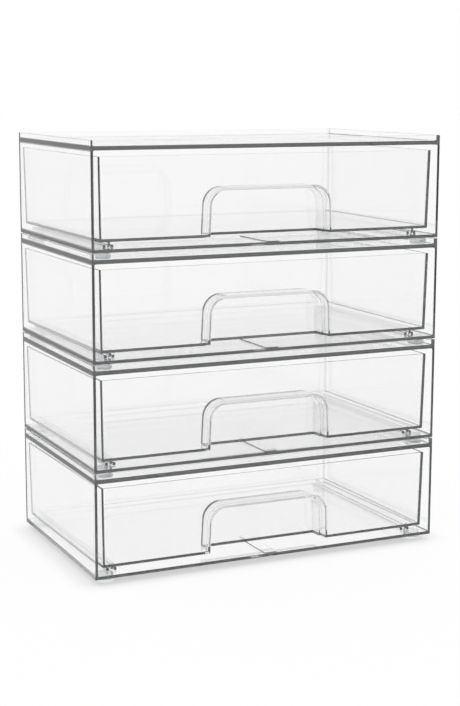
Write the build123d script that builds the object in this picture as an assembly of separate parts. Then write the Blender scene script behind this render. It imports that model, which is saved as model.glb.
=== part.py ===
from build123d import *
import math
import os

# Stackable organizer drawers: equal clear units, one standing on another.
# Millimetres. X runs across the front, Y from the front (-Y) to the back, Z up.
# The origin is the middle of the footprint, on the surface that the stack stands on.

# Stack, from the lowest unit up
levels = ("bottom", "lower", "upper", "top")
seat_gap = 0.3               # between a foot and the top plate below it

# Case, one moulding that is open at the front and narrows towards the back
case_width = 309.0           # at the front
case_depth = 184.0
case_draft = 1.0             # degrees, each side wall seen from above
case_wall = 2.2
case_floor = 2.6
opening_height = 74.9        # from the floor up to the top plate
top_plate = 3.0
rim_height = 4.7             # rim above the top plate, all round
case_back_radius = 1.2       # the two upright edges at the back
cavity_radius = 1.2          # along the inside corners
tray_radius = 1.6            # upright corners inside the rim
tray_foot_radius = 0.8       # where the rim meets the top plate
case_edge_radius = 0.3

# Guide ridges on the case floor, a pair to each runner, and the centre strip
ridge_width = 2.4
ridge_height = 2.2
ridge_end_radius = 1.0       # upright, round both ends
ridge_top_radius = 0.8
ridge_setback = 12.0         # behind the front edge of the case
ridge_end_gap = 4.0          # in front of the back wall
strip_width = 11.0
strip_length = 50.0
strip_height = 0.8
strip_setback = 0.8          # behind the front edge of the case

# Drawer, one moulding with drafted walls; gaps are taken at its top edge
drawer_side_gap = 1.4        # at the back, where the case is narrowest
drawer_head_gap = 4.7
drawer_back_gap = 3.0
drawer_setback = 2.7         # behind the front edge of the case
drawer_wall = 2.0
drawer_floor = 2.0
drawer_draft = 1.0           # degrees
drawer_corner_radius = 0.9
drawer_foot_radius = 0.8     # outside, round the foot of the walls
drawer_floor_radius = 0.6    # inside, where the walls meet the floor
drawer_edge_radius = 0.35

# Runner ribs under the drawer
runner_wall = 2.0
runner_height = 4.9
runner_gap = 0.3             # above the case floor
runner_side_gap = 1.0        # to the ridge on either side
runner_inset = 11.5          # from the side of the drawer to the middle of the rib
runner_front = 8.5           # behind the front of the drawer
runner_back = 4.5            # in front of the back of the drawer
runner_tip_radius = 3.0

# Finger pull, an arched recess in the drawer front, open below
pull_width = 107.0           # at the underside of the drawer
pull_height = 36.8
pull_depth = 18.5
pull_step = 0.9              # a ledge in the wall, all round the arch
pull_step_depth = 8.5
pull_wall = 2.2
pull_lean = 2.5              # degrees, both sides lean in upwards
pull_taper = 6.5             # degrees, both sides draw in towards the back panel
pull_radius = 13.0
pull_corner_radius = 0.6     # round the back panel, inside and outside
pull_mouth_radius = 0.5

# Non-slip foot
foot_radius = 7.0
foot_height = 5.1
foot_inset = 12.0            # from the outer faces of the case to the middle of the foot
foot_film = 0.1              # thickness left for the adhesive
foot_edge_radius = 0.9

# Sizes that follow
cut_overrun = 1.0
case_front_y = -case_depth / 2
case_slope = math.tan(math.radians(case_draft))
cavity_back_y = case_depth / 2 - case_wall
plate_bottom_z = case_floor + opening_height
plate_top_z = plate_bottom_z + top_plate
case_height = plate_top_z + rim_height
foot_rise = foot_height + foot_film
stack_pitch = plate_top_z + seat_gap + foot_rise


def half_width(y):
    # Half the outer width of the case at a depth
    return case_width / 2 - (y - case_front_y) * case_slope


drawer_front_y = case_front_y + drawer_setback
drawer_back_y = cavity_back_y - drawer_back_gap
drawer_length = drawer_back_y - drawer_front_y
drawer_middle_y = (drawer_back_y + drawer_front_y) / 2
drawer_width = 2 * (half_width(drawer_back_y) - case_wall - drawer_side_gap)
drawer_bottom_z = case_floor + runner_gap + runner_height
drawer_top_z = plate_bottom_z - drawer_head_gap
draft_slope = math.tan(math.radians(drawer_draft))
draft_run = (drawer_top_z - drawer_bottom_z) * draft_slope
runner_x = drawer_width / 2 - runner_inset
ridge_offset = runner_wall / 2 + runner_side_gap + ridge_width / 2
lean_slope = math.tan(math.radians(pull_lean))
taper_slope = math.tan(math.radians(pull_taper))
mouth_y = drawer_front_y + draft_run


def upright_plane(y):
    # Sketch plane that faces the front: its own x is X and its own y is Z
    return Plane((0, y, 0), x_dir=(1, 0, 0), z_dir=(0, -1, 0))


def side_plane(x):
    # Sketch plane that faces the right: its own x is Y and its own y is Z
    return Plane((x, 0, 0), x_dir=(0, 1, 0), z_dir=(1, 0, 0))


def plan_outline(inset, front_y, back_y):
    # The case from above between two depths, taken in from its side faces
    front = half_width(front_y) - inset
    back = half_width(back_y) - inset
    corners = [(-front, front_y), (front, front_y), (back, back_y), (-back, back_y)]
    return make_face(Polyline(*corners, close=True))


def cavity():
    outline = plan_outline(case_wall, case_front_y - cut_overrun, cavity_back_y)
    room = extrude(Pos(0, 0, case_floor) * outline, amount=opening_height)
    long_edges, back_edges = room.edges().group_by(Axis.Y)[1:]
    return fillet(long_edges + back_edges, cavity_radius)


def tray():
    outline = plan_outline(case_wall, case_front_y + case_wall, cavity_back_y)
    outline = fillet(outline.vertices(), tray_radius)
    room = extrude(Pos(0, 0, plate_top_z) * outline, amount=rim_height + cut_overrun)
    lower_edges = room.faces().sort_by(Axis.Z)[0].edges()
    return fillet(lower_edges, tray_foot_radius)


def guide_ridge(x):
    front = case_front_y + ridge_setback
    back = cavity_back_y - ridge_end_gap
    outline = RectangleRounded(ridge_width, back - front, ridge_end_radius)
    root = case_floor / 2
    ridge = extrude(Pos(x, (front + back) / 2, root) * outline, amount=case_floor - root + ridge_height)
    top_edges = ridge.faces().sort_by(Axis.Z)[-1].edges()
    return fillet(top_edges, ridge_top_radius)


def centre_strip():
    size = (strip_width, strip_length, case_floor / 2 + strip_height)
    middle_y = case_front_y + strip_setback + strip_length / 2
    return Pos(0, middle_y, case_floor / 2 + size[2] / 2) * Box(*size)


def outline_edges(case):
    # The edges round the front opening, the underside and the top of the rim
    edges = case.edges()
    chosen = edges.group_by(Axis.Y)[0] + edges.group_by(Axis.Z)[0] + edges.group_by(Axis.Z)[-1]
    return [edge for edge in edges if edge in chosen]


def make_case():
    case = extrude(plan_outline(0, case_front_y, -case_front_y), amount=case_height)
    back_edges = case.edges().filter_by(Axis.Z).group_by(Axis.Y)[-1]
    case = fillet(back_edges, case_back_radius) - cavity() - tray()
    case = fillet(outline_edges(case), case_edge_radius)
    for side in (-1, 1):
        for offset in (-ridge_offset, ridge_offset):
            case += guide_ridge(side * runner_x + offset)
    return case + centre_strip()


def drafted_outline(half, low_z):
    # Across the drawer, half its size at the top edge, drawn in down to low_z
    low = half - (drawer_top_z - low_z) * draft_slope
    corners = [(-low, low_z), (low, low_z), (half, drawer_top_z), (-half, drawer_top_z)]
    return make_face(Polyline(*corners, close=True))


def drafted_block(inset, low_z):
    half_x = drawer_width / 2 - inset
    half_y = drawer_length / 2 - inset
    back_y = drawer_back_y + cut_overrun
    left_x = -drawer_width / 2 - cut_overrun
    front_view = upright_plane(back_y) * drafted_outline(half_x, low_z)
    side_view = side_plane(left_x) * Pos(drawer_middle_y, 0) * drafted_outline(half_y, low_z)
    across = extrude(front_view, amount=drawer_length + 2 * cut_overrun)
    block = across & extrude(side_view, amount=-2 * left_x)
    return fillet(block.edges().group_by(Axis.Z)[1], drawer_corner_radius)


def drawer_tub():
    tub = drafted_block(0, drawer_bottom_z)
    tub = fillet(tub.faces().sort_by(Axis.Z)[0].edges(), drawer_foot_radius)
    hollow = drafted_block(drawer_wall, drawer_bottom_z + drawer_floor)
    hollow = fillet(hollow.faces().sort_by(Axis.Z)[0].edges(), drawer_floor_radius)
    tub -= hollow
    return fillet(tub.edges().group_by(Axis.Z)[-1], drawer_edge_radius)


def panel_outline(grow, depth, low_z, front_y):
    # The pull from the side, grown upwards, with its back parallel to the drawer front
    high_z = drawer_bottom_z + pull_height + grow
    low = mouth_y + depth - (low_z - drawer_bottom_z) * draft_slope
    high = mouth_y + depth - (high_z - drawer_bottom_z) * draft_slope
    corners = [(front_y, low_z), (low, low_z), (high, high_z), (front_y, high_z)]
    return make_face(Polyline(*corners, close=True))


def recess(grow, depth, low_z, front_y):
    # The pull grown sideways and upwards, from low_z up and from front_y back to a depth
    foot = pull_width / 2 + grow
    reach = foot + pull_depth
    block = extrude(side_plane(-reach) * panel_outline(grow, depth, low_z, front_y), amount=2 * reach)
    for side in (-1, 1):
        wall = Plane((side * foot, mouth_y, drawer_bottom_z), z_dir=(side, taper_slope, lean_slope))
        block = split(block, bisect_by=wall, keep=Keep.BOTTOM)
    top_edges = block.faces().sort_by(Axis.Z)[-1].edges().sort_by(Axis.X)
    return fillet([top_edges[0], top_edges[-1]], pull_radius + grow)


def round_panel(block):
    # Rounds the edges of the back panel, all but the one at its foot
    panel_edges = block.faces().sort_by(Axis.Y)[-1].edges().sort_by(Axis.Z)
    return fillet(panel_edges[1:], pull_corner_radius)


def pull_cover():
    front_y = mouth_y + drawer_wall / 2
    return round_panel(recess(pull_wall, pull_depth + pull_wall, drawer_bottom_z, front_y))


def pull_pocket():
    # Two cuts: the mouth, and a slightly smaller one behind its ledge
    low_z = drawer_bottom_z - cut_overrun
    front_y = drawer_front_y - cut_overrun
    mouth = recess(0, pull_step_depth, low_z, front_y)
    return mouth, round_panel(recess(-pull_step, pull_depth, low_z, front_y))


def runner_rib():
    front = drawer_front_y + runner_front
    back = drawer_back_y - runner_back
    root = drawer_floor / 2
    height = runner_height + root
    outline = Rectangle(back - front, height)
    outline = fillet(outline.vertices().group_by(Axis.Y)[0], runner_tip_radius)
    middle = Pos((front + back) / 2, drawer_bottom_z + root - height / 2)
    return extrude(side_plane(-runner_wall / 2) * middle * outline, amount=runner_wall)


def mouth_edges(drawer):
    # The edges where the pull's arch breaks the front face, above the rounded foot of the face
    reach = pull_width / 2 + pull_wall / 2
    lowest = drawer_bottom_z + drawer_foot_radius
    highest = drawer_bottom_z + pull_height + pull_wall / 2
    edges = drawer.edges().filter_by_position(Axis.X, -reach, reach)
    edges = edges.filter_by_position(Axis.Y, drawer_front_y, mouth_y)
    return edges.filter_by_position(Axis.Z, lowest, highest)


def make_drawer():
    drawer = drawer_tub() + pull_cover()
    for pocket in pull_pocket():
        drawer -= pocket
    drawer = fillet(mouth_edges(drawer), pull_mouth_radius)
    rib = runner_rib()
    for side in (-1, 1):
        drawer += Pos(side * runner_x, 0, 0) * rib
    return drawer


def make_foot():
    foot = Pos(0, 0, -foot_rise + foot_height / 2) * Cylinder(foot_radius, foot_height)
    return fillet(foot.edges().group_by(Axis.Z)[0], foot_edge_radius)


def foot_places():
    places = {}
    for row, y in (("front", case_front_y + foot_inset), ("back", -case_front_y - foot_inset)):
        x = half_width(y) - foot_inset
        places[row + "_left"] = (-x, y)
        places[row + "_right"] = (x, y)
    return places


def make_nodes():
    case = make_case()
    drawer = make_drawer()
    foot = make_foot()
    nodes = {}
    for index, level in enumerate(levels):
        place = Pos(0, 0, foot_rise + index * stack_pitch)
        nodes["case_" + level] = place * case
        nodes["drawer_" + level] = place * drawer
        for corner, (x, y) in foot_places().items():
            nodes["foot_" + level + "_" + corner] = place * Pos(x, y, 0) * foot
    return nodes


os.makedirs("parts", exist_ok=True)
for name, solid in make_nodes().items():
    export_step(solid, "parts/" + name + ".step")
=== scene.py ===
import math
import bpy
from mathutils import Euler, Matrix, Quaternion

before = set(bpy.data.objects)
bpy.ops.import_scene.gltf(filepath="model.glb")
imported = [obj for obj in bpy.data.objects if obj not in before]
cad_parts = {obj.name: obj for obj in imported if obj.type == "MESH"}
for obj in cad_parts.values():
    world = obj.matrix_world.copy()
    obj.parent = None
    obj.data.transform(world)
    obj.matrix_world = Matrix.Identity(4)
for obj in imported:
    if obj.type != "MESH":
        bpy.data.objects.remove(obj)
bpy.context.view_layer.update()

scene = bpy.context.scene
mm = 0.001
levels = ("bottom", "lower", "upper", "top")
corners = ("front_left", "front_right", "back_left", "back_right")
print("frame loaded:", len(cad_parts), "nodes")


def hexColor(code):
    # sRGB hex to linear, with alpha
    parts = [int(code[i:i + 2], 16) / 255 for i in (1, 3, 5)]
    linear = [c / 12.92 if c <= 0.04045 else ((c + 0.055) / 1.055) ** 2.4 for c in parts]
    return (*linear, 1.0)


def addNode(tree, kind, settings=None, first=(), **named):
    # One node: its settings, then a value or a link for its first sockets in turn and for others by name
    node = tree.nodes.new(kind)
    for key, value in (settings or {}).items():
        setattr(node, key, value)
    pairs = list(zip(node.inputs, first))
    pairs += [(node.inputs[key.replace("_", " ")], value) for key, value in named.items()]
    for socket, value in pairs:
        if isinstance(value, bpy.types.NodeSocket):
            tree.links.new(value, socket)
        else:
            socket.default_value = value
    return node


def newMaterial(name):
    material = bpy.data.materials.new(name)
    material.use_nodes = True
    material.node_tree.nodes.clear()
    return material, material.node_tree


# Clear polystyrene, injection moulded in a polished tool: it shows mostly what is behind it, its cut edges
# go dark grey where light runs the length of a wall, and the tool's faint waves move the reflections.
clearPlastic = {
    "tint": "#ffffff",
    "ior": 1.55,
    "clear": 1.0,
    "absorbColor": "#565b5e",
    "absorbDensity": 13.0,   # per metre
    "waveSize": 45 * mm,     # waviness of the tool
    "waveDepth": 0.02 * mm,
    "waveDetail": 1.0,
    "scuffSize": 6 * mm,     # handling marks
    "scuffDetail": 4.0,
    "scuffStart": 0.45,      # noise level where a mark begins
    "scuffFull": 0.75,
    "roughLow": 0.004,
    "roughHigh": 0.03,
}


def makeClearPlastic(name, values):
    material, tree = newMaterial(name)
    place = addNode(tree, "ShaderNodeTexCoord").outputs["Object"]
    wave = addNode(tree, "ShaderNodeTexNoise", Vector=place, Scale=1 / values["waveSize"],
                   Detail=values["waveDetail"])
    bump = addNode(tree, "ShaderNodeBump", Distance=values["waveDepth"], Height=wave.outputs["Fac"])
    scuff = addNode(tree, "ShaderNodeTexNoise", Vector=place, Scale=1 / values["scuffSize"],
                    Detail=values["scuffDetail"])
    rough = addNode(tree, "ShaderNodeMapRange", Value=scuff.outputs["Fac"],
                    From_Min=values["scuffStart"], From_Max=values["scuffFull"],
                    To_Min=values["roughLow"], To_Max=values["roughHigh"])
    shader = addNode(tree, "ShaderNodeBsdfPrincipled", Base_Color=hexColor(values["tint"]),
                     IOR=values["ior"], Transmission_Weight=values["clear"],
                     Roughness=rough.outputs["Result"], Normal=bump.outputs["Normal"])
    volume = addNode(tree, "ShaderNodeVolumeAbsorption", Color=hexColor(values["absorbColor"]),
                     Density=values["absorbDensity"])
    addNode(tree, "ShaderNodeOutputMaterial", Surface=shader.outputs["BSDF"],
            Volume=volume.outputs["Volume"])
    return material


# Translucent soft silicone with a satin skin: grey pads that show softly through the clear floors; their
# grey is partly the silicone's own and partly painted shade, darkened to read as the shadow at the foot of
# the stack.
silicone = {
    # painted shade: the tint is darker than the silicone's own grey so the pads match the shadow below the
    # stack
    "tint": "#c8cccd",
    "ior": 1.41,
    "clear": 1.0,
    "grainSize": 0.6 * mm,   # satin of the mould
    "grainDepth": 0.03 * mm,
    "grainDetail": 2.0,
    "grainStrength": 0.6,
    "roughLow": 0.08,
    "roughHigh": 0.16,
}


def makeSilicone(name, values):
    material, tree = newMaterial(name)
    place = addNode(tree, "ShaderNodeTexCoord").outputs["Object"]
    grain = addNode(tree, "ShaderNodeTexNoise", Vector=place, Scale=1 / values["grainSize"],
                    Detail=values["grainDetail"])
    bump = addNode(tree, "ShaderNodeBump", Strength=values["grainStrength"], Distance=values["grainDepth"],
                   Height=grain.outputs["Fac"])
    rough = addNode(tree, "ShaderNodeMapRange", Value=grain.outputs["Fac"], To_Min=values["roughLow"],
                    To_Max=values["roughHigh"])
    shader = addNode(tree, "ShaderNodeBsdfPrincipled", Base_Color=hexColor(values["tint"]),
                     IOR=values["ior"], Transmission_Weight=values["clear"],
                     Roughness=rough.outputs["Result"], Normal=bump.outputs["Normal"])
    addNode(tree, "ShaderNodeOutputMaterial", Surface=shader.outputs["BSDF"])
    return material


def dress(node, material):
    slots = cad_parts[node].data.materials
    if len(slots) == 0:
        slots.append(material)
    for index in range(len(slots)):
        slots[index] = material


casePlastic = makeClearPlastic("clear polystyrene case, polished moulding", clearPlastic)
drawerPlastic = makeClearPlastic("clear polystyrene drawer, polished moulding", clearPlastic)
footSilicone = makeSilicone("translucent silicone, satin moulding", silicone)
for level in levels:
    dress("case_" + level, casePlastic)
    dress("drawer_" + level, drawerPlastic)
    for corner in corners:
        dress("foot_" + level + "_" + corner, footSilicone)
print("materials on", len(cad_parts), "nodes")


# White studio: a matt paper floor that keeps the shadow, under an even white sky; its glow to the eye is
# darkened round the foot of the stack, a painted shadow
studio = {
    "floorSize": 30.0,        # m
    "floorColor": "#fdfdfd",
    "floorGlow": 0.95,        # share that stays white to the eye; through the plastic it is all white
    "paintedShadowReach": 20 * mm,  # reach of the painted shadow round the foot of the stack
    "paintedShadowDark": 0.6,
    "skyColor": "#ffffff",
    "skyLight": 1.0,
}


def makeFloor():
    bpy.ops.mesh.primitive_plane_add(size=studio["floorSize"])
    floor = bpy.context.object
    floor.name = "studio_floor"
    material, tree = newMaterial("matt white paper floor")
    paper = addNode(tree, "ShaderNodeBsdfDiffuse", Color=hexColor(studio["floorColor"]))
    rays = addNode(tree, "ShaderNodeLightPath").outputs
    through = addNode(tree, "ShaderNodeMath", {"operation": "ADD", "use_clamp": True},
                      (rays["Is Glossy Ray"], rays["Is Transmission Ray"])).outputs["Value"]
    share = addNode(tree, "ShaderNodeMath", {"operation": "MULTIPLY_ADD", "use_clamp": True},
                    (rays["Is Camera Ray"], studio["floorGlow"], through))
    # painted shadow: the glow that the eye sees dims with ambient occlusion close to the stack
    near = addNode(tree, "ShaderNodeAmbientOcclusion", Distance=studio["paintedShadowReach"])
    shade = addNode(tree, "ShaderNodeMapRange", Value=near.outputs["AO"], To_Min=studio["paintedShadowDark"])
    light = addNode(tree, "ShaderNodeMath", {"operation": "MAXIMUM"}, (shade.outputs["Result"], through))
    glow = addNode(tree, "ShaderNodeEmission", Strength=light.outputs["Value"])
    mix = addNode(tree, "ShaderNodeMixShader", None,
                  (share.outputs["Value"], paper.outputs["BSDF"], glow.outputs["Emission"]))
    addNode(tree, "ShaderNodeOutputMaterial", Surface=mix.outputs["Shader"])
    floor.data.materials.append(material)


def makeWorld():
    world = bpy.data.worlds.new("white studio")
    scene.world = world
    world.use_nodes = True
    tree = world.node_tree
    tree.nodes.clear()
    light = addNode(tree, "ShaderNodeBackground", Color=hexColor(studio["skyColor"]),
                    Strength=studio["skyLight"])
    addNode(tree, "ShaderNodeOutputWorld", Surface=light.outputs["Background"])


makeFloor()
makeWorld()
print("floor and sky set")


# Camera at the photograph's angle
view = {
    "place": (-0.5689, -1.2084, 0.3950),  # m
    "down": 9.937,    # degrees
    "turn": 25.422,
    "roll": 0.1738,
    "lens": 80.20,    # mm
    "sensor": 36,
}


def makeCamera():
    camera = bpy.data.objects.new("camera", bpy.data.cameras.new("camera"))
    scene.collection.objects.link(camera)
    camera.location = view["place"]
    camera.rotation_mode = "QUATERNION"
    tilt = math.radians(90 - view["down"])  # an unturned camera looks straight down
    look = Euler((tilt, 0, math.radians(-view["turn"]))).to_quaternion()
    camera.rotation_quaternion = look @ Quaternion((0, 0, 1), math.radians(view["roll"]))
    camera.data.sensor_width = view["sensor"]
    camera.data.lens = view["lens"]
    scene.camera = camera


makeCamera()
scene.view_settings.view_transform = "Standard"

# Light has to get through two dozen and more faces of clear plastic, one behind another
bounces = {"max_bounces": 48, "transmission_bounces": 48, "glossy_bounces": 32}
for kind, count in bounces.items():
    setattr(scene.cycles, kind, count)
print("camera set")
